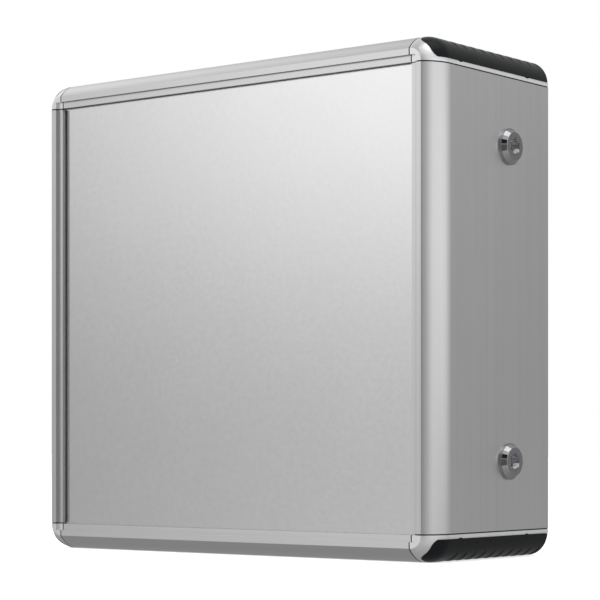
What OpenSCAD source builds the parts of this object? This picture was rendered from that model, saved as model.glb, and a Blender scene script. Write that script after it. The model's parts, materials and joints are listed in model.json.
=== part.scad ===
// Control enclosure built from four lengths of one aluminium extrusion, four die-cast
// corner bars with ribbed bumpers, an inset front panel and a hinged rear door.
// Width runs along X, depth along Y (the front faces -Y) and height along Z.
// The origin is the centre of the bottom extrusion's outer face.

/* [Overall] */
// Width over the side extrusions
body_w = 250; // [180:1:500]
// Height over the top and bottom extrusions
body_h = 244; // [200:1:500]
// Depth from the front lip to the rear edge
body_d = 100; // [92:1:180]

/* [Extrusion] */
// How far the outer lip's crease stands in from the outer face
edge_inset = 6.9; // [5:0.1:8]
// Depth over which the front edge curves into the outer face
edge_depth = 14; // [11:0.5:18]
// Width of the flat outer lip
lip_w = 3; // [2:0.1:4]
// Step from the outer lip down to the inner lip
lip_step = 1.7; // [1:0.1:2.2]
// Width of the inner lip
inner_lip_w = 3.2; // [3:0.1:4]
// Thickness of the lip behind the inner lip
lip_t = 1.7; // [1.4:0.1:2.5]
// Thickness of the outer wall
wall = 2.6; // [2:0.1:3]
// Thickness of the inner ribs
rib_t = 1.8; // [1.4:0.1:2.4]
// Bevel on the rear outer edge
rear_bevel = 0.5; // [0.2:0.1:0.8]

/* [Front panel] */
// Thickness of the front panel
panel_t = 3; // [2:0.1:4]
// How far the panel reaches in under the lip
panel_cover = 5; // [4:0.1:5.2]
// Thickness of the seal between the lip and the panel
seal_t = 0.9; // [0.8:0.1:2]
// How far the seal's inner edge stays back from the panel opening
seal_back = 0.6; // [0.3:0.1:1.5]

/* [Corner bars] */
// Gap at the seam between each corner bar and the extrusions
seam_gap = 0.6; // [0.1:0.05:0.7]
// Thickness of the flange that shows beside each extrusion's end
flange_t = 1.9; // [1.5:0.1:2.3]
// Floor under the screw heads
screw_floor = 2.6; // [2.4:0.1:3]
// Length of the tongue that enters each extrusion's slot
tongue_l = 8; // [5:1:15]

/* [Bumpers] */
// Thickness of the bumper
pad_t = 2.3; // [2:0.1:2.8]
// How far the bumper's round is set out from the corner bar's
pad_shift = 1; // [0.6:0.1:1.4]
// Distance from the front lip to the bumper's front edge
pad_front = 4.35; // [4:0.05:6]
// Half width of the bumper's rounded front end
pad_half_w = 7.6; // [6.5:0.05:7.7]
// Corner radius of the bumper's front end
pad_corner_r = 5.2; // [3:0.1:6]
// Pitch of the grip ribs
rib_pitch = 8; // [6:0.5:12]
// Distance from the front lip to the first valley between ribs
rib_start = 24; // [20:1:30]
// Depth of the valleys at the bumper's crown
rib_depth = 0.8; // [0.4:0.1:1.2]
// Radius of the studs that hold the bumper
stud_r = 1.9; // [1.5:0.1:2.2]
// Length of the studs
stud_l = 4.5; // [3:0.5:5]

/* [Corner screws] */
// Distance of the screw channels from the outer face
channel_in = 8; // [7.8:0.1:8.2]
// Radius of the screw channels, which the screws cut their thread in
channel_r = 1.85; // [1.6:0.05:2]
// Radius of the screw heads
screw_head_r = 3.5; // [3.2:0.1:3.6]
// Height of the screw heads
screw_head_h = 2.6; // [2:0.1:2.8]
// Length of the screws under the head
screw_l = 20; // [14:1:30]

/* [Rear door] */
// Thickness of the door plate
door_t = 2.5; // [2:0.1:3]
// Gap between the door's edge and the extrusions' wall
door_gap = 0.7; // [0.5:0.1:1.2]
// Radius of the door's corners
door_corner_r = 14.7; // [14:0.1:18]
// Thickness of the door seal
door_seal_t = 1.9; // [1.2:0.1:2.5]
// Width of the door seal
door_seal_w = 6; // [4:0.1:7]
// Gap between the seal and the seat while the door is unlocked
seal_gap = 0.3; // [0.2:0.05:0.5]
// How far the door stands in from the rear edge
door_sink = 0.3; // [0.1:0.1:0.6]

/* [Hinges] */
// Distance of each hinge's middle from the top or bottom
hinge_end = 52; // [40:1:70]
// Height of a hinge
hinge_h = 30; // [24:1:40]
// Thickness of the hinge leaves
leaf_t = 2; // [1.6:0.1:2.4]
// Length of the frame leaf along the side
frame_leaf_l = 21; // [19:0.5:26]
// Length of the door leaf across the door
door_leaf_l = 17; // [15:0.5:24]
// Outer radius of the knuckles
knuckle_r = 3.5; // [3.2:0.1:4]
// Radius of the hinge pins
hinge_pin_r = 1.9; // [1.5:0.1:2]

/* [Locks] */
// Distance of each lock from the top or bottom
lock_end = 46.6; // [45:0.1:60]
// Distance of the locks from the rear edge
lock_back = 36; // [35.5:0.5:40]
// Radius of the lock body's outer flange
lock_flange_r = 8.75; // [8.5:0.05:10]
// Thickness of that flange
lock_flange_t = 1; // [0.6:0.1:1.5]
// Radius of the tapered head at its foot
head_foot_r = 8.45; // [8:0.05:8.6]
// Radius of the head's flat face
head_face_r = 7; // [6:0.1:7.5]
// Height of the tapered head
head_h = 2.35; // [1.8:0.05:3.5]
// Radius of the lock body's thread
lock_body_r = 7; // [6.6:0.1:7.5]
// Radius of the spindle
spindle_r = 5; // [4.5:0.1:5.5]
// Tip radius of the six-lobed socket
socket_r = 4.45; // [3.8:0.05:5]
// Depth of the socket
socket_depth = 4.5; // [3:0.1:6]
// Distance of the cam's outer face from the extrusion's outer face
cam_in = 19.3; // [18.5:0.1:21]
// Thickness of the cam
cam_t = 2.5; // [2:0.1:3]
// Distance of the catch pin from the lock's axis
catch_reach = 12; // [11.5:0.1:14]
// Radius of the catch pins
catch_pin_r = 2; // [1.5:0.1:2.2]

/* [Hidden] */
// Gap of every running fit, on the radius
run_fit = 0.05;
// Gap of a seated or screwed-in piece, on the radius
seat_fit = 0.03;
// Gap round pieces that drop into a pocket
drop_fit = 0.15;
// Extra length of every cutter
cut = 1;

half_w = body_w / 2;
half_d = body_d / 2;
// Every extrusion reaches this far in, and each corner bar is this wide and high
reach = edge_inset + lip_w + inner_lip_w;
step_in = edge_inset + lip_w;
edge_r = (edge_inset * edge_inset + edge_depth * edge_depth) / (2 * edge_inset);

// Front panel groove, measured back from the front lip
groove_front = lip_step + lip_t;
panel_front = groove_front + seal_t;
groove_back = panel_front + panel_t + drop_fit;
panel_in = reach - panel_cover;
panel_corner_r = 3;

// Rear door, measured back from the front lip
door_back = body_d - door_sink;
door_front = door_back - door_t;
seat_back = door_front - door_seal_t - seal_gap;
seat_t = 2.5;
door_in = wall + door_gap;
door_seal_in = door_in + 0.7;

// Screw channels: two serve the side extrusions and two serve the top and bottom ones
channel_boss_r = channel_r + 1.3;
channel_slit = 1.6;
channel_pitch = 9;
side_channels = [groove_back + rib_t + channel_boss_r + 1.2, seat_back - seat_t - channel_boss_r - 0.4];
cross_channels = [side_channels[0] + channel_pitch, side_channels[1] - channel_pitch];
screw_r = channel_r - seat_fit;
screw_hole_r = channel_r + 0.4;

// Slot for sliding nuts
slot_y = cross_channels[0] + 14.5;
slot_half = 6.5;
slot_mouth = 3.1;
slot_lip_in = 8.6;

// Bumpers
pad_r = reach - pad_shift;
pad_straight = pad_front + pad_corner_r;
pad_rear_bevel = 1;
pad_fade = 40;
rib_shift = rib_depth / (1 - sin(pad_fade));
rib_ring_r = pad_r + rib_shift - rib_depth;
rib_crest_r = (rib_pitch * rib_pitch / 4 + rib_depth * rib_depth) / (2 * rib_depth);
rib_last = floor((body_d - 3 - rib_start) / rib_pitch);
stud_places = [cross_channels[0] + 9.5, body_d / 2, cross_channels[1] - 9.5];
core_pocket_half = 3.4;
core_pocket_r = 5;

// Hinges
hinge_x = -half_w - leaf_t + knuckle_r;
hinge_y = body_d + knuckle_r + 0.2;
knuckle_gap = 0.3;
knuckle_h = (hinge_h - 2 * knuckle_gap) / 3;
hinge_levels = [hinge_end, body_h - hinge_end];
hinge_screw_r = 2;
hinge_screw_head_r = 3.6;
hinge_screw_rise = hinge_h / 2 - 6;
frame_screw_y = (side_channels[1] + cross_channels[1]) / 2;
door_leaf_start = hinge_x + knuckle_r + 0.4;
door_screw_x = door_leaf_start + door_leaf_l - 5;

// Locks
lock_levels = [lock_end, body_h - lock_end];
lock_depth = body_d - lock_back;
head_start = lock_flange_t + run_fit;
head_bevel = 0.2;
nut_across = 19;
nut_t = 4;
lock_body_l = cam_in - 0.6;
cam_back = cam_in + cam_t;
square_w = 7;
cam_hub_r = 8;
finger_in_r = catch_reach + catch_pin_r + 0.3;
finger_w = 3.7;
finger_start = 55;
finger_end = 150;
web_start = 115;
cam_screw_r = 2;
cam_screw_head_r = 4.5;
cam_screw_head_h = 2.8;
cam_screw_l = 8;

// Catches
catch_t = 2;
catch_inner_x = half_w - cam_back - 2 * catch_t;
catch_pin_end = half_w - cam_in + 1.6;
catch_half_h = 4.5;
catch_foot_half_h = 10;
catch_foot_l = 13;
catch_screw_rise = 6;
catch_pin_y = lock_depth + catch_reach;

// Right and top are 1, left and bottom are -1
CORNERS = [[1, 1], [-1, 1], [1, -1], [-1, -1]];

// ---------- the extrusion's section: X is the distance in from the outer face, Y runs back ----------

// The full outer shape, from a face at inset whose front curve has the radius curve_r
module edge_blank(inset, curve_r, bevel) {
    difference() {
        union() {
            translate([inset, edge_depth]) square([reach - inset, body_d - edge_depth]);
            intersection() {
                translate([edge_r, edge_depth]) circle(curve_r, $fn = 180);
                translate([inset, 0]) square([reach - inset, edge_depth]);
            }
        }
        translate([inset, body_d]) polygon([[-cut, cut], [-cut, -bevel - cut], [bevel + cut, cut]]);
    }
}

module screw_channel(y) {
    translate([wall - 0.2, y - rib_t / 2]) square([channel_in - wall, rib_t]);
    translate([channel_in, y]) circle(channel_boss_r, $fn = 48);
}

module screw_channel_bore(y) {
    translate([channel_in, y]) circle(channel_r, $fn = 48);
    translate([channel_in, y - channel_slit / 2]) square([reach, channel_slit]);
}

module nut_slot() {
    lip_l = slot_half - slot_mouth;
    for (side = [-1, 1]) {
        translate([wall - 0.2, slot_y + side * slot_half - rib_t / 2])
            square([slot_lip_in - wall + 0.2, rib_t]);
        translate([slot_lip_in - rib_t, slot_y + side * (slot_mouth + lip_l / 2) - lip_l / 2])
            square([rib_t, lip_l]);
    }
}

module inner_space() {
    intersection() {
        translate([0, groove_back + rib_t])
            square([reach + cut, seat_back - seat_t - groove_back - rib_t]);
        union() {
            translate([wall, edge_depth]) square([reach, body_d]);
            translate([edge_r, edge_depth]) circle(edge_r - wall, $fn = 180);
        }
    }
}

module extrusion_section() {
    channels = concat(side_channels, cross_channels);
    difference() {
        union() {
            difference() {
                edge_blank(0, edge_r, rear_bevel);
                inner_space();
            }
            for (y = channels) screw_channel(y);
            nut_slot();
        }
        for (y = channels) screw_channel_bore(y);
        // step down to the inner lip
        translate([step_in, -cut]) square([reach, lip_step + cut]);
        // groove for the front panel and its seal
        translate([panel_in - drop_fit, groove_front]) square([reach, groove_back - groove_front]);
        // room for the rear door
        translate([wall, seat_back]) square([reach, body_d]);
    }
}

module side_extrusion(side) {
    translate([side * half_w, -half_d, reach + seam_gap])
        mirror([side > 0 ? 1 : 0, 0, 0])
            linear_extrude(body_h - 2 * reach - 2 * seam_gap) extrusion_section();
}

module cross_extrusion(height, turn) {
    translate([0, -half_d, height])
        rotate([0, turn, 0])
            linear_extrude(body_w - 2 * reach - 2 * seam_gap, center = true) extrusion_section();
}

module right_profile() {
    color("silver") difference() {
        side_extrusion(1);
        for (z = lock_levels) at_lock(z) cylinder(r = lock_body_r + seat_fit, h = 4 * wall, center = true, $fn = 64);
    }
}

module left_profile() {
    color("silver") difference() {
        side_extrusion(-1);
        at_frame_screws() cylinder(r = hinge_screw_r + seat_fit, h = 4 * wall, center = true, $fn = 32);
    }
}

module top_profile() {
    color("silver") cross_extrusion(body_h, 90);
}

module bottom_profile() {
    color("silver") cross_extrusion(0, -90);
}

// ---------- corner bars, drawn outward to +X and +Z from where the two seam planes meet ----------

module at_corner(corner) {
    translate([corner[0] * (half_w - reach), -half_d, corner[1] > 0 ? body_h - reach : reach])
        mirror([corner[0] > 0 ? 0 : 1, 0, 0])
            mirror([0, 0, corner[1] > 0 ? 0 : 1])
                children();
}

// Sweeps a section, drawn as radius by depth, through the corner's quarter round
module quarter_round() {
    rotate([-90, 0, 0]) rotate([0, 0, -90]) rotate_extrude(angle = 90, $fn = 180) children();
}

// The extrusion's outer shape as a radius round an axis r in from the outer face
module round_blank(r, inset, curve_r, bevel) {
    intersection() {
        translate([r, 0]) mirror([1, 0]) edge_blank(inset, curve_r, bevel);
        square([r, body_d]);
    }
}

// Lays a shape, drawn across by depth, square on to the corner's diagonal
module on_diagonal() {
    rotate([0, 45, 0]) linear_extrude(2 * reach) children();
}

// The bumper's outline, grown by a clearance
module pad_outline(grow) {
    half = pad_half_w - pad_corner_r;
    for (side = [-1, 1])
        translate([side * half, pad_straight]) circle(pad_corner_r + grow, $fn = 96);
    translate([-half, pad_front - grow]) square([2 * half, pad_corner_r]);
    translate([-reach, pad_straight]) square([2 * reach, body_d]);
}

// The space outside both flanges and behind the outline, grown by a clearance
module pad_space(grow) {
    intersection() {
        on_diagonal() pad_outline(grow);
        translate([flange_t - grow, 0, flange_t - grow]) cube([reach, body_d + cut, reach]);
    }
}

// What lies under the bumper, as much smaller as gap says
module pad_bed(gap) {
    translate([pad_shift, 0, pad_shift])
        quarter_round() round_blank(pad_r, pad_t + gap, edge_r - pad_t - gap, 0);
}

module pad_studs(grow) {
    for (y = stud_places)
        translate([pad_shift, y, pad_shift]) rotate([0, 45, 0])
            translate([0, 0, pad_r - pad_t - stud_l - grow])
                cylinder(r = stud_r + grow, h = stud_l + 1, $fn = 32);
}

// Channels in depth order: the first and last take the side extrusion's screws
module at_side_screws() {
    for (y = side_channels) translate([reach - channel_in, y, 0]) children();
}

module at_cross_screws() {
    for (y = cross_channels) translate([0, y, reach - channel_in]) rotate([0, 90, 0]) children();
}

module screw_room() {
    translate([0, 0, -cut]) cylinder(r = screw_hole_r, h = screw_floor + 2 * cut, $fn = 32);
    translate([0, 0, screw_floor]) cylinder(r = screw_head_r + drop_fit, h = reach, $fn = 48);
}

// Tongue in the nut slot of the side extrusion below
module side_tongue() {
    translate([reach - slot_lip_in + rib_t + drop_fit, slot_y - slot_half + rib_t / 2 + drop_fit, -tongue_l])
        cube([slot_lip_in - rib_t - wall - 2 * drop_fit, 2 * slot_half - rib_t - 2 * drop_fit, tongue_l + cut]);
}

module corner_bar() {
    opening = reach - step_in;
    panel_room = panel_cover + drop_fit;
    panel_room_r = panel_corner_r + drop_fit;
    door_room = reach - wall;
    door_room_r = door_corner_r + door_gap;
    difference() {
        union() {
            quarter_round() round_blank(reach, 0, edge_r, rear_bevel);
            side_tongue();
            mirror([1, 0, -1]) side_tongue();
        }
        // recess for the bumper
        difference() {
            pad_space(0);
            pad_bed(0.1);
        }
        pad_studs(drop_fit);
        // pockets that keep the casting's wall even
        on_diagonal_pockets();
        // step down to the inner lip
        translate([-cut, -cut, -cut]) cube([opening + cut, lip_step + cut, opening + cut]);
        // pockets for the front panel and the rear door
        depth_pocket(groove_front, groove_back) corner_room(panel_room, panel_room_r);
        depth_pocket(seat_back, body_d + cut) corner_room(door_room, door_room_r);
        at_side_screws() screw_room();
        at_cross_screws() screw_room();
    }
}

// Extrudes a shape, drawn as X by Z, over a stretch of depth
module depth_pocket(from, to) {
    translate([0, to, 0]) rotate([90, 0, 0]) linear_extrude(to - from) children();
}

// One corner of a rounded rectangle whose sides lie at room
module corner_room(room, r) {
    intersection() {
        union() {
            translate([-cut, -cut]) square([room + cut, room - r + cut]);
            translate([-cut, -cut]) square([room - r + cut, room + cut]);
            translate([room - r, room - r]) circle(r, $fn = 128);
        }
        translate([-cut, -cut]) square(reach);
    }
}

module on_diagonal_pockets() {
    for (i = [0, 1])
        translate([0, stud_places[i] + stud_r + 2, 0])
            rotate([0, 45, 0])
                translate([-core_pocket_half, 0, core_pocket_r])
                    cube([2 * core_pocket_half, stud_places[i + 1] - stud_places[i] - 2 * stud_r - 4, reach]);
}

module corner_top_right() {
    color("gainsboro") at_corner(CORNERS[0]) corner_bar();
}

module corner_top_left() {
    color("gainsboro") at_corner(CORNERS[1]) corner_bar();
}

module corner_bottom_right() {
    color("gainsboro") at_corner(CORNERS[2]) corner_bar();
}

module corner_bottom_left() {
    color("gainsboro") at_corner(CORNERS[3]) corner_bar();
}

// ---------- bumpers ----------

// The valley between two rounded ribs, deepest at the crown and fading out down the side
module rib_valley(y) {
    translate([pad_shift, 0, pad_shift - rib_shift])
        quarter_round() difference() {
            translate([rib_ring_r, y - rib_pitch / 2]) square([3 * rib_depth, rib_pitch]);
            for (side = [-1, 1])
                translate([rib_ring_r + rib_depth - rib_crest_r, y + side * rib_pitch / 2])
                    circle(rib_crest_r, $fn = 128);
        }
}

module bumper() {
    difference() {
        intersection() {
            translate([pad_shift, 0, pad_shift])
                quarter_round() round_blank(pad_r, 0, edge_r, pad_rear_bevel);
            pad_space(-drop_fit);
        }
        pad_bed(0);
        for (i = [0:rib_last]) rib_valley(rib_start + i * rib_pitch);
    }
    pad_studs(0);
}

module bumper_top_right() {
    color([0.16, 0.17, 0.18]) at_corner(CORNERS[0]) bumper();
}

module bumper_top_left() {
    color([0.16, 0.17, 0.18]) at_corner(CORNERS[1]) bumper();
}

module bumper_bottom_right() {
    color([0.16, 0.17, 0.18]) at_corner(CORNERS[2]) bumper();
}

module bumper_bottom_left() {
    color([0.16, 0.17, 0.18]) at_corner(CORNERS[3]) bumper();
}

// ---------- corner screws ----------

module corner_screw() {
    translate([0, 0, screw_floor - screw_l]) cylinder(r = screw_r, h = screw_l, $fn = 32);
    difference() {
        translate([0, 0, screw_floor]) cylinder(r = screw_head_r, h = screw_head_h, $fn = 48);
        for (turn = [0, 90])
            rotate([0, 0, turn]) translate([0, 0, screw_floor + screw_head_h])
                cube([1.1 * screw_head_r, 0.9, screw_head_h], center = true);
    }
}

module corner_screws() {
    color("dimgray") for (corner = CORNERS) at_corner(corner) {
        at_side_screws() corner_screw();
        at_cross_screws() corner_screw();
    }
}

// ---------- front panel and rear door ----------

module rounded_rect(w, h, r) {
    square([w - 2 * r, h], center = true);
    square([w, h - 2 * r], center = true);
    for (x = [-1, 1], y = [-1, 1])
        translate([x * (w / 2 - r), y * (h / 2 - r)]) circle(r, $fn = 96);
}

// A rounded rectangle that stands in from the outer faces by inset
module inset_rect(inset, r) {
    rounded_rect(body_w - 2 * inset, body_h - 2 * inset, r);
}

// Stands a flat shape up between two depths
module upright(from, to) {
    translate([0, to - half_d, body_h / 2]) rotate([90, 0, 0]) linear_extrude(to - from) children();
}

module front_panel() {
    color("lightgray") upright(panel_front, panel_front + panel_t) inset_rect(panel_in, panel_corner_r);
}

module front_seal() {
    color([0.1, 0.1, 0.1]) upright(groove_front, panel_front) difference() {
        inset_rect(panel_in + drop_fit, panel_corner_r - drop_fit);
        inset_rect(reach - seal_back, seal_back);
    }
}

module rear_door() {
    color("lightgray") difference() {
        upright(door_front, door_back) inset_rect(door_in, door_corner_r);
        at_door_screws() cylinder(r = hinge_screw_r + seat_fit, h = 4 * door_t, center = true, $fn = 32);
        at_catch_screws() countersunk(seat_fit, catch_t + door_t + cut);
    }
}

module door_seal() {
    color([0.1, 0.1, 0.1]) upright(door_front - door_seal_t, door_front) difference() {
        inset_rect(door_seal_in, door_corner_r - door_seal_in + door_in);
        inset_rect(door_seal_in + door_seal_w, door_corner_r - door_seal_w - door_seal_in + door_in);
    }
}

// ---------- hinges ----------

// A flat-headed screw that enters along -Z with its head flush at Z = 0
module countersunk(grow, length) {
    sink = hinge_screw_head_r - hinge_screw_r;
    translate([0, 0, -length]) cylinder(r = hinge_screw_r + grow, h = length + grow, $fn = 32);
    translate([0, 0, -sink]) cylinder(r1 = hinge_screw_r + grow, r2 = hinge_screw_head_r + grow, h = sink, $fn = 48);
}

// A cross cut in the head of such a screw
module cross_recess() {
    for (turn = [0, 90])
        rotate([0, 0, turn]) cube([1.2 * hinge_screw_head_r, 0.8, 1.8], center = true);
}

// Screws that enter along +X from the frame leaf's outer face
module at_frame_screws() {
    for (z = hinge_levels, rise = [-1, 1])
        translate([-half_w - leaf_t, frame_screw_y - half_d, z + rise * hinge_screw_rise])
            rotate([0, -90, 0]) children();
}

// Screws that enter along -Y from the door leaf's outer face
module at_door_screws() {
    for (z = hinge_levels, rise = [-1, 1])
        translate([door_screw_x, door_back + leaf_t - half_d, z + rise * hinge_screw_rise])
            rotate([-90, 0, 0]) children();
}

module knuckle(z, h) {
    translate([hinge_x, hinge_y - half_d, z]) cylinder(r = knuckle_r, h = h, $fn = 64);
}

module pin_bore(z, fit) {
    translate([hinge_x, hinge_y - half_d, z])
        cylinder(r = hinge_pin_r + fit, h = hinge_h + 2 * cut, center = true, $fn = 48);
}

module hinge_frame_leaves() {
    leaf_end = body_d - 0.5;
    color("darkgray") difference() {
        for (z = hinge_levels) {
            translate([-half_w - leaf_t, leaf_end - frame_leaf_l - half_d, z - hinge_h / 2])
                cube([leaf_t, frame_leaf_l, hinge_h]);
            for (foot = [z - hinge_h / 2, z + hinge_h / 2 - knuckle_h]) {
                translate([-half_w - leaf_t, leaf_end - half_d - 0.1, foot])
                    cube([leaf_t, hinge_y - leaf_end + 0.1, knuckle_h]);
                knuckle(foot, knuckle_h);
            }
        }
        for (z = hinge_levels) pin_bore(z, seat_fit);
        at_frame_screws() countersunk(seat_fit, leaf_t + cut);
    }
}

module hinge_door_leaves() {
    tab_start = hinge_x + knuckle_r / 2;
    color("darkgray") difference() {
        for (z = hinge_levels) {
            translate([door_leaf_start, door_back - half_d, z - hinge_h / 2])
                cube([door_leaf_l, leaf_t, hinge_h]);
            translate([tab_start, door_back - half_d, z - knuckle_h / 2])
                cube([door_leaf_start - tab_start + 0.1, leaf_t, knuckle_h]);
            knuckle(z - knuckle_h / 2, knuckle_h);
        }
        for (z = hinge_levels) pin_bore(z, run_fit);
        at_door_screws() countersunk(seat_fit, leaf_t + cut);
    }
}

module hinge_pins() {
    color("gray") for (z = hinge_levels)
        translate([hinge_x, hinge_y - half_d, z]) cylinder(r = hinge_pin_r, h = hinge_h, center = true, $fn = 48);
}

module hinge_frame_screws() {
    color("gray") at_frame_screws() difference() {
        countersunk(0, leaf_t + wall + 2.4);
        cross_recess();
    }
}

module hinge_door_screws() {
    color("gray") at_door_screws() difference() {
        countersunk(0, leaf_t + door_t);
        cross_recess();
    }
}

// ---------- locks: drawn outward along +Z from the extrusion's outer face ----------

module at_lock(level) {
    translate([half_w, lock_depth - half_d, level]) rotate([0, 90, 0]) children();
}

module lock_body() {
    difference() {
        union() {
            cylinder(r = lock_flange_r, h = lock_flange_t, $fn = 96);
            translate([0, 0, -lock_body_l]) cylinder(r = lock_body_r, h = lock_body_l + lock_flange_t / 2, $fn = 64);
        }
        translate([0, 0, -lock_body_l - cut])
            cylinder(r = spindle_r + run_fit, h = lock_body_l + lock_flange_t + 2 * cut, $fn = 64);
    }
}

module upper_lock_body() {
    color("gainsboro") at_lock(lock_levels[1]) lock_body();
}

module lower_lock_body() {
    color("gainsboro") at_lock(lock_levels[0]) lock_body();
}

module lock_nuts() {
    color("darkgray") for (level = lock_levels) at_lock(level)
        translate([0, 0, -wall - nut_t]) difference() {
            cylinder(r = nut_across / 2 / cos(30), h = nut_t, $fn = 6);
            translate([0, 0, -cut]) cylinder(r = lock_body_r + seat_fit, h = nut_t + 2 * cut, $fn = 64);
        }
}

// A six-lobed socket whose lobes reach socket_r
module lobed_socket() {
    lobe_r = 0.22 * socket_r;
    circle(0.78 * socket_r, $fn = 64);
    for (i = [0:5])
        rotate([0, 0, 60 * i]) translate([socket_r - lobe_r, 0]) circle(lobe_r, $fn = 32);
}

module lock_spindle() {
    head_top = head_start + head_h;
    difference() {
        union() {
            translate([0, 0, head_start])
                cylinder(r1 = head_foot_r, r2 = head_face_r, h = head_h - head_bevel, $fn = 96);
            translate([0, 0, head_top - head_bevel])
                cylinder(r1 = head_face_r, r2 = head_face_r - head_bevel, h = head_bevel, $fn = 96);
            translate([0, 0, -cam_in]) cylinder(r = spindle_r, h = cam_in + head_start + head_bevel, $fn = 64);
            translate([-square_w / 2, -square_w / 2, 0.2 - cam_back]) cube([square_w, square_w, cam_t]);
        }
        translate([0, 0, head_top - socket_depth]) linear_extrude(socket_depth + cut) lobed_socket();
        translate([0, 0, -cam_back - cut])
            cylinder(r = cam_screw_r + seat_fit, h = cam_screw_l + 2 * cut, $fn = 32);
    }
}

module upper_lock_spindle() {
    color("lightsteelblue") at_lock(lock_levels[1]) lock_spindle();
}

module lower_lock_spindle() {
    color("lightsteelblue") at_lock(lock_levels[0]) lock_spindle();
}

module wedge(from, to) {
    reach_out = 3 * finger_in_r;
    mid = (from + to) / 2;
    polygon([[0, 0], reach_out * [cos(from), sin(from)], reach_out * [cos(mid), sin(mid)],
             reach_out * [cos(to), sin(to)]]);
}

// Hook plate, stored turned away from the catch pin
module lock_cam() {
    hole = square_w + 2 * drop_fit;
    linear_extrude(cam_t) difference() {
        union() {
            circle(cam_hub_r, $fn = 64);
            intersection() {
                circle(finger_in_r + finger_w, $fn = 128);
                union() {
                    difference() {
                        wedge(finger_start, finger_end);
                        circle(finger_in_r, $fn = 128);
                    }
                    wedge(web_start, finger_end);
                }
            }
        }
        square(hole, center = true);
    }
}

module at_cam(level) {
    translate([half_w - cam_back, lock_depth - half_d, level]) rotate([90, 0, 90]) children();
}

module upper_lock_cam() {
    color("darkgray") at_cam(lock_levels[1]) lock_cam();
}

module lower_lock_cam() {
    color("darkgray") at_cam(lock_levels[0]) lock_cam();
}

module cam_screw() {
    translate([0, 0, -cam_back - cam_screw_head_h]) difference() {
        cylinder(r = cam_screw_head_r, h = cam_screw_head_h, $fn = 48);
        translate([0, 0, -cut]) cylinder(r = 1.9, h = cam_screw_head_h / 2 + cut, $fn = 6);
    }
    translate([0, 0, -cam_back - cut / 2]) cylinder(r = cam_screw_r, h = cam_screw_l, $fn = 32);
}

module upper_cam_screw() {
    color("gray") at_lock(lock_levels[1]) cam_screw();
}

module lower_cam_screw() {
    color("gray") at_lock(lock_levels[0]) cam_screw();
}

// ---------- catches on the door ----------

module catch(level) {
    y = catch_pin_y - half_d;
    difference() {
        union() {
            translate([catch_inner_x, y, level]) rotate([0, 90, 0]) cylinder(r = catch_half_h, h = catch_t, $fn = 48);
            translate([catch_inner_x, y, level - catch_half_h])
                cube([catch_t, door_front - catch_pin_y, 2 * catch_half_h]);
            translate([catch_inner_x - catch_foot_l, door_front - catch_t - half_d, level - catch_foot_half_h])
                cube([catch_foot_l + catch_t, catch_t, 2 * catch_foot_half_h]);
        }
        translate([catch_inner_x - cut, y, level]) rotate([0, 90, 0])
            cylinder(r = catch_pin_r + seat_fit, h = catch_t + 2 * cut, $fn = 48);
        at_catch_screws() translate([0, 0, -2 * door_t]) cylinder(r = hinge_screw_r + seat_fit, h = 2 * door_t, $fn = 32);
    }
}

// Screws that enter along -Y from the door's outer face
module at_catch_screws() {
    for (z = lock_levels, rise = [-1, 1])
        translate([catch_inner_x - catch_foot_l / 2, door_back - half_d, z + rise * catch_screw_rise])
            rotate([-90, 0, 0]) children();
}

module upper_catch() {
    color("darkgray") catch(lock_levels[1]);
}

module lower_catch() {
    color("darkgray") catch(lock_levels[0]);
}

module catch_pins() {
    color("gray") for (z = lock_levels)
        translate([catch_inner_x, catch_pin_y - half_d, z]) rotate([0, 90, 0])
            cylinder(r = catch_pin_r, h = catch_pin_end - catch_inner_x, $fn = 48);
}

module catch_screws() {
    color("gray") at_catch_screws() difference() {
        countersunk(0, catch_t + door_t);
        cross_recess();
    }
}

right_profile();
left_profile();
top_profile();
bottom_profile();
corner_top_right();
corner_top_left();
corner_bottom_right();
corner_bottom_left();
bumper_top_right();
bumper_top_left();
bumper_bottom_right();
bumper_bottom_left();
corner_screws();
front_panel();
front_seal();
rear_door();
door_seal();
hinge_frame_leaves();
hinge_door_leaves();
hinge_pins();
hinge_frame_screws();
hinge_door_screws();
upper_lock_body();
lower_lock_body();
lock_nuts();
upper_lock_spindle();
lower_lock_spindle();
upper_lock_cam();
lower_lock_cam();
upper_cam_screw();
lower_cam_screw();
upper_catch();
lower_catch();
catch_pins();
catch_screws();
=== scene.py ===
"""The looks of the aluminium enclosure: materials, studio and camera, around the CAD frame."""
import json
import math

import bmesh
import bpy
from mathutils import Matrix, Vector


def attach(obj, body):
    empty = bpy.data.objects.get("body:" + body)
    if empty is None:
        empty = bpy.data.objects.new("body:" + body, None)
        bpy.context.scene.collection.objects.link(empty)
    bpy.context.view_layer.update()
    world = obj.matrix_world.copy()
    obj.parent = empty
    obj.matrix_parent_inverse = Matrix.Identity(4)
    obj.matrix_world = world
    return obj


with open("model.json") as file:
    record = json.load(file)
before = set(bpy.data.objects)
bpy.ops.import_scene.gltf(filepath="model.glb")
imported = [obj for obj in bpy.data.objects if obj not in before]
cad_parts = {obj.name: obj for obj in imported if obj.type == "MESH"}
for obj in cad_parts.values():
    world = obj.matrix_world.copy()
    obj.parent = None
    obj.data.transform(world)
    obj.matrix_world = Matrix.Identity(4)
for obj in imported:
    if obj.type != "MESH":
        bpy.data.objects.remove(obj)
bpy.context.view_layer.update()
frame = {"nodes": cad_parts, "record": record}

# Lengths are in metres.
CENTRE = Vector((0, 0, 0.12))
HALF_W, HEIGHT, DEPTH, FRONT_Y = 0.125, 0.244, 0.1, -0.05
# The extrusions' curved front edge: how far back it reaches, and its radius
EDGE_DEPTH, EDGE_R = 0.014, 0.01765
# Where a seam beside a corner bar starts and ends, in from the outer face
SEAM = (0.01315, 0.01365)

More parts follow.
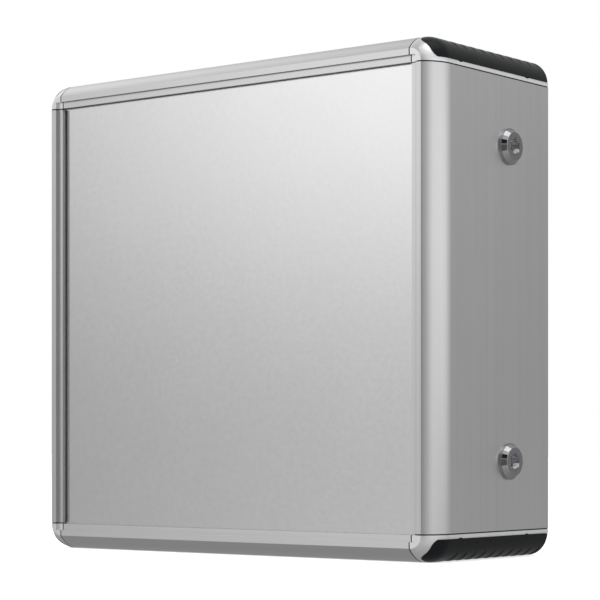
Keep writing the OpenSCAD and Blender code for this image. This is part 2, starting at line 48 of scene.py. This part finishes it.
# Regions that a material treats apart, each (middle, reach)
LIP_WALLS_X, LIP_WALLS_Y, LIP_WALLS_Z = (0, 0.1172), (-0.0481, 0.0018), (0.122, 0.1142)
LOW_LIPS_Z = (0.006, 0.0072)
SOCKET_LEVELS = (0.0466, 0.1974)
SOCKET_X, SOCKET_Y, SOCKET_R = (0.1262, 0.002), (0.014, 0.0047), 0.0047
# The pale patch low in each lock socket, a painted highlight
HIGHLIGHT_PATCH_X, HIGHLIGHT_PATCH_DROP, HIGHLIGHT_PATCH_R = (0.1265, 0.0016), 0.0022, 0.0013

# Soft lines along the extrusions, each (place, width, change in brightness): the die lines by
# their depth, and painted shade along the creases of the front lips by their distance from the
# middle
DIE_LINES = (
    (-0.0095, 0.0012, -0.012), (-0.0010, 0.0030, 0.012),
    (0.0225, 0.0012, -0.015), (0.0385, 0.0015, 0.012),
)
CREASE_SHADE_LINES = (
    (0.1132, 0.0005, -0.03), (0.1153, 0.0006, -0.17),
    (0.1171, 0.0006, -0.07), (0.1184, 0.0004, -0.2),
)
ALUMINIUM = (0.62, 0.62, 0.625)

# The light tent's plain glow, and its soft lobes, each (azimuth, elevation, half width, strength)
TENT_R, TENT_GLOW = 2.6, 0.342
LOBES = (
    (-34, 20, 10, 0.74), (-40, -10, 10, 0.17), (-30, 12, 8, 0.71), (-44, 12, 8, 0.37),
    (74, 8, 10, 0.74), (88, 10, 10, 0.50), (102, 8, 10, 0.72), (116, 8, 10, 0.55),
    (126, 6, 8, 0.49), (-142, 34, 20, 0.05), (-105, 42, 18, 0.80), (40, 42, 18, 0.17),
    (72, 42, 16, 0.71), (140, 42, 22, 0.15), (180, 76, 24, 0.20), (0, 72, 16, 0.09),
    (-15, -24, 18, 0.90), (30, -24, 18, 0.19), (75, -24, 18, 0.36), (0, -60, 22, 0.06),
    (80, -60, 22, 0.05), (52, 16, 7, 0.28), (-178, 10, 24, 0.40), (-142, 10, 12, 0.50),
    (-112, 10, 18, 0.30),
)
# The backdrop's strength as a light, where the camera and the metals don't see it
AMBIENT = 0.6
FLOOR_HALF, FLOOR_GLOW = 6, 0.6
SQUARE = ((-1, -1), (1, -1), (1, 1), (-1, 1))


# ---------- node helpers ----------

def new_material(name):
    """An empty material with its Principled shader already joined to the output."""
    mat = bpy.data.materials.new(name)
    mat.use_nodes = True
    tree = mat.node_tree
    tree.nodes.clear()
    out = tree.nodes.new("ShaderNodeOutputMaterial")
    shader = tree.nodes.new("ShaderNodeBsdfPrincipled")
    tree.links.new(shader.outputs["BSDF"], out.inputs["Surface"])
    return mat, tree, shader


def position(tree, scale):
    """The position in metres in the piece's own frame, stretched by scale along X, Y and Z."""
    coord = tree.nodes.new("ShaderNodeTexCoord")
    mapping = tree.nodes.new("ShaderNodeMapping")
    mapping.inputs["Scale"].default_value = scale
    tree.links.new(coord.outputs["Object"], mapping.inputs["Vector"])
    return mapping.outputs["Vector"]


def noise(tree, vector, scale, detail=3.0, roughness=0.55):
    node = tree.nodes.new("ShaderNodeTexNoise")
    node.inputs["Scale"].default_value = scale
    node.inputs["Detail"].default_value = detail
    node.inputs["Roughness"].default_value = roughness
    tree.links.new(vector, node.inputs["Vector"])
    return node.outputs["Fac"]


def remap(tree, value, low, high, from_low=0.3, from_high=0.7):
    """A value between from_low and from_high, spread over low to high."""
    node = tree.nodes.new("ShaderNodeMapRange")
    node.inputs["From Min"].default_value = from_low
    node.inputs["From Max"].default_value = from_high
    node.inputs["To Min"].default_value = low
    node.inputs["To Max"].default_value = high
    tree.links.new(value, node.inputs["Value"])
    return node.outputs["Result"]


def math_node(tree, operation, a, b):
    node = tree.nodes.new("ShaderNodeMath")
    node.operation = operation
    for socket, value in zip(node.inputs, (a, b)):
        if isinstance(value, (int, float)):
            socket.default_value = value
        else:
            tree.links.new(value, socket)
    return node.outputs["Value"]


def shade(tree, color, factor):
    """color times a grey factor that varies over the surface."""
    node = tree.nodes.new("ShaderNodeVectorMath")
    node.operation = "SCALE"
    node.inputs[0].default_value = color
    tree.links.new(factor, node.inputs["Scale"])
    return node.outputs["Vector"]


def bump(tree, height, distance, strength=1.0):
    node = tree.nodes.new("ShaderNodeBump")
    node.inputs["Strength"].default_value = strength
    node.inputs["Distance"].default_value = distance
    tree.links.new(height, node.inputs["Height"])
    return node.outputs["Normal"]


def split(tree, vector):
    node = tree.nodes.new("ShaderNodeSeparateXYZ")
    tree.links.new(vector, node.inputs["Vector"])
    return node.outputs["X"], node.outputs["Y"], node.outputs["Z"]


def within(tree, value, middle, reach):
    """1 where value lies within reach of middle, and 0 elsewhere."""
    node = tree.nodes.new("ShaderNodeMath")
    node.operation = "COMPARE"
    tree.links.new(value, node.inputs[0])
    node.inputs[1].default_value = middle
    node.inputs[2].default_value = reach
    return node.outputs["Value"]


def normal(tree):
    """The X, Y and Z of the surface's direction."""
    coord = tree.nodes.new("ShaderNodeTexCoord")
    return split(tree, coord.outputs["Normal"])


def all_of(tree, *masks):
    """1 where every mask is 1, and 0 elsewhere."""
    result = masks[0]
    for mask in masks[1:]:
        result = math_node(tree, "MULTIPLY", result, mask)
    return result


def tint(tree, tone, mask, factor):
    """tone, times factor where mask is 1."""
    return math_node(tree, "MULTIPLY", tone, remap(tree, mask, 1.0, factor, 0.0, 1.0))


def draw_lines(tree, tone, value, lines):
    """tone, changed along the soft lines that lie where value equals their place."""
    for place, width, change in lines:
        away = math_node(tree, "ABSOLUTE", math_node(tree, "SUBTRACT", value, place), 0)
        tone = math_node(tree, "MULTIPLY", tone, remap(tree, away, 1 + change, 1.0, 0.0, width))
    return tone


# ---------- materials ----------

def satin_aluminium(name, color, roughness, streak_scale, end_axis=None, die_lines=()):
    """Anodised aluminium: a fine etched grain, and streaks along the length that streak_scale
    leaves long. An extrusion, cut to length along end_axis, also has painted shade on its ends,
    which darkens the seams, and painted shade lines along the creases beside its front lips. Its
    narrow lip walls are painted paler as if lit, with painted shade where they face down, and the
    front faces of its lower lips are painted paler as if lit."""
    mat, tree, shader = new_material(name)
    place = position(tree, (1, 1, 1))
    grain = noise(tree, place, 2600, 2.0)
    cloud = noise(tree, place, 22, 3.0)
    streaks = noise(tree, position(tree, streak_scale), 1.0, 4.0, 0.6)
    tone = math_node(tree, "MULTIPLY", remap(tree, grain, 0.985, 1.015),
                     remap(tree, streaks, 0.975, 1.025))
    tone = math_node(tree, "MULTIPLY", tone, remap(tree, cloud, 0.99, 1.01))
    x, y, z = split(tree, place)
    tone = draw_lines(tree, tone, y, die_lines)
    if end_axis is not None:
        facing = normal(tree)
        # Painted light and shade: lip walls painted paler as if lit, painted shade on their
        # undersides and on the ends in the seams, and the lower lips' front faces painted paler as
        # if lit
        lip_walls_painted_light = all_of(tree, within(tree, facing[1], 0, 0.5), within(tree, x, *LIP_WALLS_X),
                           within(tree, y, *LIP_WALLS_Y), within(tree, z, *LIP_WALLS_Z))
        undersides_painted_shade = all_of(tree, lip_walls_painted_light, within(tree, facing[2], -1, 0.5))
        low_lips_painted_light = all_of(tree, within(tree, facing[1], -1, 0.02), within(tree, z, *LOW_LIPS_Z))
        seam_shade_ends = within(tree, math_node(tree, "ABSOLUTE", facing[end_axis], 0), 1, 0.1)
        for mask, factor in ((lip_walls_painted_light, 1.3), (undersides_painted_shade, 0.2), (low_lips_painted_light, 1.11), (seam_shade_ends, 0.25)):
            tone = tint(tree, tone, mask, factor)
        # Painted shade: dark lines along the creases beside the front lips
        tone = draw_lines(tree, tone, math_node(tree, "ABSOLUTE", x, 0), CREASE_SHADE_LINES)
    tree.links.new(shade(tree, color, tone), shader.inputs["Base Color"])
    rough = math_node(tree, "MULTIPLY", remap(tree, streaks, 0.95, 1.05),
                      remap(tree, grain, 0.94, 1.06))
    tree.links.new(math_node(tree, "MULTIPLY", rough, roughness), shader.inputs["Roughness"])
    shader.inputs["Metallic"].default_value = 1.0
    height = math_node(tree, "ADD", math_node(tree, "MULTIPLY", grain, 0.6), streaks)
    tree.links.new(bump(tree, height, 0.00001), shader.inputs["Normal"])
    return mat


def cast_aluminium():
    """Die-cast corner bar: brighter than the extrusions, with a faint cast ripple, and side faces
    painted paler as if lit."""
    mat, tree, shader = new_material("cast_aluminium")
    ripple = noise(tree, position(tree, (1, 1, 1)), 160, 3.0)
    grain = noise(tree, position(tree, (1, 1, 1)), 1900, 2.0)
    tone = math_node(tree, "MULTIPLY", remap(tree, ripple, 0.985, 1.015),
                     remap(tree, grain, 0.985, 1.015))
    # Painted light: the faces that face sideways are painted paler
    side_faces_painted_light = within(tree, math_node(tree, "ABSOLUTE", normal(tree)[0], 0), 1, 0.004)
    tone = tint(tree, tone, side_faces_painted_light, 1.18)
    tree.links.new(shade(tree, (0.83, 0.83, 0.835), tone), shader.inputs["Base Color"])
    tree.links.new(remap(tree, ripple, 0.33, 0.39), shader.inputs["Roughness"])
    shader.inputs["Metallic"].default_value = 1.0
    height = math_node(tree, "ADD", ripple, math_node(tree, "MULTIPLY", grain, 0.15))
    tree.links.new(bump(tree, height, 0.00003), shader.inputs["Normal"])
    return mat


def bumper_rubber():
    """Charcoal rubber with the fine dull skin of a moulding."""
    mat, tree, shader = new_material("bumper_rubber")
    skin = noise(tree, position(tree, (1, 1, 1)), 2200, 3.0, 0.6)
    cloud = noise(tree, position(tree, (1, 1, 1)), 45, 3.0)
    tone = math_node(tree, "MULTIPLY", remap(tree, skin, 0.9, 1.1),
                     remap(tree, cloud, 0.92, 1.08))
    tree.links.new(shade(tree, (0.005, 0.0058, 0.0066), tone), shader.inputs["Base Color"])
    tree.links.new(remap(tree, cloud, 0.25, 0.32), shader.inputs["Roughness"])
    shader.inputs["Specular IOR Level"].default_value = 0.11
    tree.links.new(bump(tree, skin, 0.00004), shader.inputs["Normal"])
    return mat


def foam_and_seam_shade(name, color):
    """Dull foam with fine cells, also used for the near-black painted shade in the seams."""
    mat, tree, shader = new_material(name)
    cells = noise(tree, position(tree, (1, 1, 1)), 1500, 4.0, 0.7)
    tone = remap(tree, cells, 0.8, 1.2)
    tree.links.new(shade(tree, color, tone), shader.inputs["Base Color"])
    tree.links.new(remap(tree, cells, 0.7, 0.85), shader.inputs["Roughness"])
    tree.links.new(bump(tree, cells, 0.00012), shader.inputs["Normal"])
    return mat


def plated_steel(name, color, low, high, scratch_scale, socket_levels=()):
    """Plated or polished steel: roughness from low to high in fine turned or brushed marks. The
    walls of the sockets on those levels are painted brighter, painted light, and a pale matt patch
    low in each, not metal, is a painted highlight."""
    mat, tree, shader = new_material(name)
    place = position(tree, (1, 1, 1))
    marks = noise(tree, position(tree, scratch_scale), 1.0, 4.0, 0.6)
    haze = noise(tree, place, 320, 3.0)
    tone = math_node(tree, "MULTIPLY", remap(tree, marks, 0.97, 1.03),
                     remap(tree, haze, 0.97, 1.03))
    x, y, z = split(tree, place)
    metallic = 1.0
    # Painted light in the sockets: brighter walls, and a pale matt patch that catches the lamps as
    # a painted highlight
    for level in socket_levels:
        in_depth = within(tree, y, *SOCKET_Y)
        walls = all_of(tree, in_depth, within(tree, z, level, SOCKET_R),
                       within(tree, x, *SOCKET_X))
        painted_highlight_patch = all_of(tree, in_depth, within(tree, z, level - HIGHLIGHT_PATCH_DROP, HIGHLIGHT_PATCH_R),
                      within(tree, x, *HIGHLIGHT_PATCH_X))
        tone = tint(tree, tint(tree, tone, walls, 1.9), painted_highlight_patch, 1.2)
        metallic = math_node(tree, "SUBTRACT", metallic, painted_highlight_patch)
    tree.links.new(shade(tree, color, tone), shader.inputs["Base Color"])
    rough = math_node(tree, "MULTIPLY", remap(tree, haze, low, high),
                      remap(tree, marks, 0.9, 1.1))
    tree.links.new(rough, shader.inputs["Roughness"])
    if socket_levels:
        tree.links.new(metallic, shader.inputs["Metallic"])
    else:
        shader.inputs["Metallic"].default_value = metallic
    tree.links.new(bump(tree, marks, 0.000006), shader.inputs["Normal"])
    return mat


upright = satin_aluminium("extrusion_upright", ALUMINIUM, 0.30, (900, 900, 5), 2, DIE_LINES)
level = satin_aluminium("extrusion_level", ALUMINIUM, 0.30, (5, 900, 900), 0)
sheet = satin_aluminium("panel_sheet", (0.64, 0.64, 0.645), 0.20, (420, 420, 420))
casting = cast_aluminium()
rubber = bumper_rubber()
foam = foam_and_seam_shade("seal_rubber", (0.16, 0.16, 0.163))
# Near-black material for the strips in the seams beside the corner bars: painted shade
seam_shade_material = foam_and_seam_shade("seam_painted_shade", (0.010, 0.010, 0.011))
lock_metal = plated_steel("lock_nickel", (0.42, 0.42, 0.43), 0.06, 0.10, (700, 700, 700),
                          SOCKET_LEVELS)
hinge_metal = plated_steel("hinge_steel", (0.56, 0.56, 0.57), 0.24, 0.32, (1500, 1500, 30))
screw_metal = plated_steel("screw_zinc", (0.52, 0.53, 0.54), 0.2, 0.3, (900, 900, 900))
catch_metal = plated_steel("catch_zinc", (0.5, 0.5, 0.5), 0.28, 0.38, (300, 300, 300))

FINISH = {
    "extrusion": level, "casting": casting, "panel": sheet, "door": sheet, "bumper": rubber,
    "seal": foam, "lock": lock_metal, "catch": catch_metal, "hinge": hinge_metal,
    "fastener": screw_metal,
}
slot_of = {row["node"]: row["material_slot"] for row in frame["record"]["subparts"]}
for name, node in frame["nodes"].items():
    mat = upright if name in ("right_profile", "left_profile") else FINISH[slot_of[name]]
    node.data.materials.clear()
    node.data.materials.append(mat)


# ---------- seam shade strips: painted shade in the seams ---

def seam_shade_strip(name, corner, across):
    """A thin near-black strip, painted shade, that fills the seam beside a corner bar and follows
    the extrusion's front curve, just below the surface. across is 0 for a seam of the top or
    bottom extrusion, and 2 for one of a side."""
    below, thickness, rear_margin = 0.0004, 0.0022, 0.0014
    front, inner_front, crease = 0.0009, 0.0024, 0.0078
    side, up = corner
    angles = [math.radians(degrees) for degrees in range(0, 55, 6)]
    curve = [(below + EDGE_R - EDGE_R * math.cos(a), EDGE_DEPTH - EDGE_R * math.sin(a))
             for a in angles]
    outer = [(below, DEPTH - below)] + [p for p in curve if p[1] > front] + [(crease, front)]
    inner = [(inset + thickness, min(max(y, inner_front), DEPTH - rear_margin))
             for inset, y in outer]
    verts, faces = [], []
    for along in SEAM:
        for inset, y in outer + inner:
            x, z = (along, inset) if across == 0 else (inset, along)
            verts.append((side * (HALF_W - x), FRONT_Y + y, z if up < 0 else HEIGHT - z))
    count = len(outer)
    for start, step in ((0, count), (2 * count, count), (0, 2 * count), (count, 2 * count)):
        faces += [(start + k, start + k + 1, start + step + k + 1, start + step + k)
                  for k in range(count - 1)]
    mesh = bpy.data.meshes.new(name)
    mesh.from_pydata(verts, [], faces)
    mesh.materials.append(seam_shade_material)
    obj = bpy.data.objects.new(name, mesh)
    bpy.context.scene.collection.objects.link(obj)
    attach(obj, "frame")


for side, side_name in ((1, "right"), (-1, "left")):
    for up, up_name in ((1, "top"), (-1, "bottom")):
        for along_name, across in ((up_name, 0), (side_name, 2)):
            seam_shade_strip("gasket_%s_of_%s_%s" % (along_name, up_name, side_name), (side, up), across)

# ---------- studio ----------

def toward(azimuth, elevation):
    """The unit vector in that direction. Azimuth 0 is the front and 90 the right."""
    a, e = math.radians(azimuth), math.radians(elevation)
    return Vector((math.sin(a) * math.cos(e), -math.cos(a) * math.cos(e), math.sin(e)))


def stage_object(name, mesh, mat, hidden_from):
    """A piece of the studio, hidden from those kinds of ray."""
    obj = bpy.data.objects.new(name, mesh)
    bpy.context.scene.collection.objects.link(obj)
    mesh.materials.append(mat)
    for ray in hidden_from:
        setattr(obj, "visible_" + ray, False)
    return obj


def emission_material(name):
    mat = bpy.data.materials.new(name)
    mat.use_nodes = True
    tree = mat.node_tree
    tree.nodes.clear()
    emission = tree.nodes.new("ShaderNodeEmission")
    emission.inputs["Color"].default_value = (1, 1, 1, 1)
    out = tree.nodes.new("ShaderNodeOutputMaterial")
    tree.links.new(emission.outputs["Emission"], out.inputs["Surface"])
    return mat, tree, emission


def tent(glow, lobes):
    """The light tent that the metal mirrors."""
    mat, tree, emission = emission_material("tent")
    direction = tree.nodes.new("ShaderNodeVectorMath")
    direction.operation = "NORMALIZE"
    tree.links.new(position(tree, (1, 1, 1)), direction.inputs[0])
    total = glow
    for azimuth, elevation, half_width, strength in lobes:
        dot = tree.nodes.new("ShaderNodeVectorMath")
        dot.operation = "DOT_PRODUCT"
        dot.inputs[1].default_value = toward(azimuth, elevation)
        tree.links.new(direction.outputs["Vector"], dot.inputs[0])
        sharpness = math.log(2) / (1 - math.cos(math.radians(half_width)))
        fall = math_node(tree, "MULTIPLY",
                         math_node(tree, "SUBTRACT", dot.outputs["Value"], 1.0), sharpness)
        lobe = math_node(tree, "MULTIPLY", math_node(tree, "EXPONENT", fall, 0), strength)
        total = math_node(tree, "ADD", lobe, total)
    tree.links.new(total, emission.inputs["Strength"])
    mesh = bpy.data.meshes.new("tent")
    ball = bmesh.new()
    bmesh.ops.create_uvsphere(ball, u_segments=64, v_segments=32, radius=TENT_R)
    ball.to_mesh(mesh)
    ball.free()
    obj = stage_object("tent", mesh, mat, ("camera", "diffuse", "shadow", "volume_scatter"))
    obj.location = CENTRE


def card(name, direction, distance, width, height, strength):
    """A bright or dark card, seen only in reflections, that faces the enclosure from there."""
    away = toward(*direction)
    mesh = bpy.data.meshes.new(name)
    corners = [(x * width / 2, y * height / 2, 0) for x, y in SQUARE]
    mesh.from_pydata(corners, [], [(0, 1, 2, 3)])
    mat, tree, emission = emission_material(name)
    emission.inputs["Strength"].default_value = strength
    obj = stage_object(name, mesh, mat,
                       ("camera", "diffuse", "shadow", "transmission", "volume_scatter"))
    obj.location = CENTRE + away * distance
    obj.rotation_euler = away.to_track_quat("Z", "Y").to_euler()


def softbox(name, direction, distance, width, height, power):
    """A lamp that lights only what is matt, since the metals mirror the tent instead."""
    away = toward(*direction)
    lamp = bpy.data.lights.new(name, "AREA")
    lamp.shape = "RECTANGLE"
    lamp.size = width
    lamp.size_y = height
    lamp.energy = power
    obj = bpy.data.objects.new(name, lamp)
    bpy.context.scene.collection.objects.link(obj)
    obj.location = CENTRE + away * distance
    obj.rotation_euler = away.to_track_quat("Z", "Y").to_euler()
    obj.visible_camera = False
    obj.visible_glossy = False


def seen_directly(tree):
    """1 for camera, glossy and transmission rays, and 0 for the rest."""
    path = tree.nodes.new("ShaderNodeLightPath")
    seen = math_node(tree, "MAXIMUM", path.outputs["Is Camera Ray"], path.outputs["Is Glossy Ray"])
    return math_node(tree, "MAXIMUM", seen, path.outputs["Is Transmission Ray"])


world = bpy.data.worlds.new("studio")
world.use_nodes = True
bpy.context.scene.world = world
background = world.node_tree.nodes["Background"]
background.inputs["Color"].default_value = (1, 1, 1, 1)
strength = math_node(world.node_tree, "MULTIPLY", seen_directly(world.node_tree), 1 - AMBIENT)
strength = math_node(world.node_tree, "ADD", strength, AMBIENT)
world.node_tree.links.new(strength, background.inputs["Strength"])


def floor():
    """A plain pale floor, as white as the backdrop, that keeps the enclosure's shadow."""
    mesh = bpy.data.meshes.new("floor")
    corners = [(x * FLOOR_HALF, y * FLOOR_HALF, 0) for x, y in SQUARE]
    mesh.from_pydata(corners, [], [(0, 1, 2, 3)])
    mat, tree, shader = new_material("floor")
    shader.inputs["Base Color"].default_value = (0.8, 0.8, 0.8, 1)
    shader.inputs["Roughness"].default_value = 0.9
    shader.inputs["Specular IOR Level"].default_value = 0.2
    shader.inputs["Emission Color"].default_value = (1, 1, 1, 1)
    path = tree.nodes.new("ShaderNodeLightPath")
    glow = math_node(tree, "MULTIPLY", path.outputs["Is Camera Ray"], FLOOR_GLOW)
    tree.links.new(glow, shader.inputs["Emission Strength"])
    stage_object("floor", mesh, mat, ("glossy",))


floor()
tent(TENT_GLOW, LOBES)
softbox("key", (-14, 38), 1.7, 1.1, 0.8, 30)
softbox("right", (88, 24), 1.7, 0.5, 1.0, 12)
card("overhead", (104, 68), 2.2, 1.45, 1.25, 1.8)
card("flag_high", (43, 29), 2.2, 0.42, 0.95, 0.02)
card("flag_behind", (148, 4), 2.15, 0.4, 0.56, 0.3)
card("flag_low", (41, -6), 2.2, 0.34, 1.4, 0.15)

# ---------- camera ----------
camera = bpy.data.cameras.new("camera")
camera.lens = 128.286
camera.sensor_width = 36
camera.shift_y = 0.2362
camera.dof.use_dof = False
viewer = bpy.data.objects.new("camera", camera)
viewer.location = (0.6793, -0.8538, 0.0561)
viewer.rotation_euler = (math.radians(90), 0, math.radians(38.155))
bpy.context.scene.collection.objects.link(viewer)
bpy.context.scene.camera = viewer
bpy.context.scene.view_settings.view_transform = "Standard"
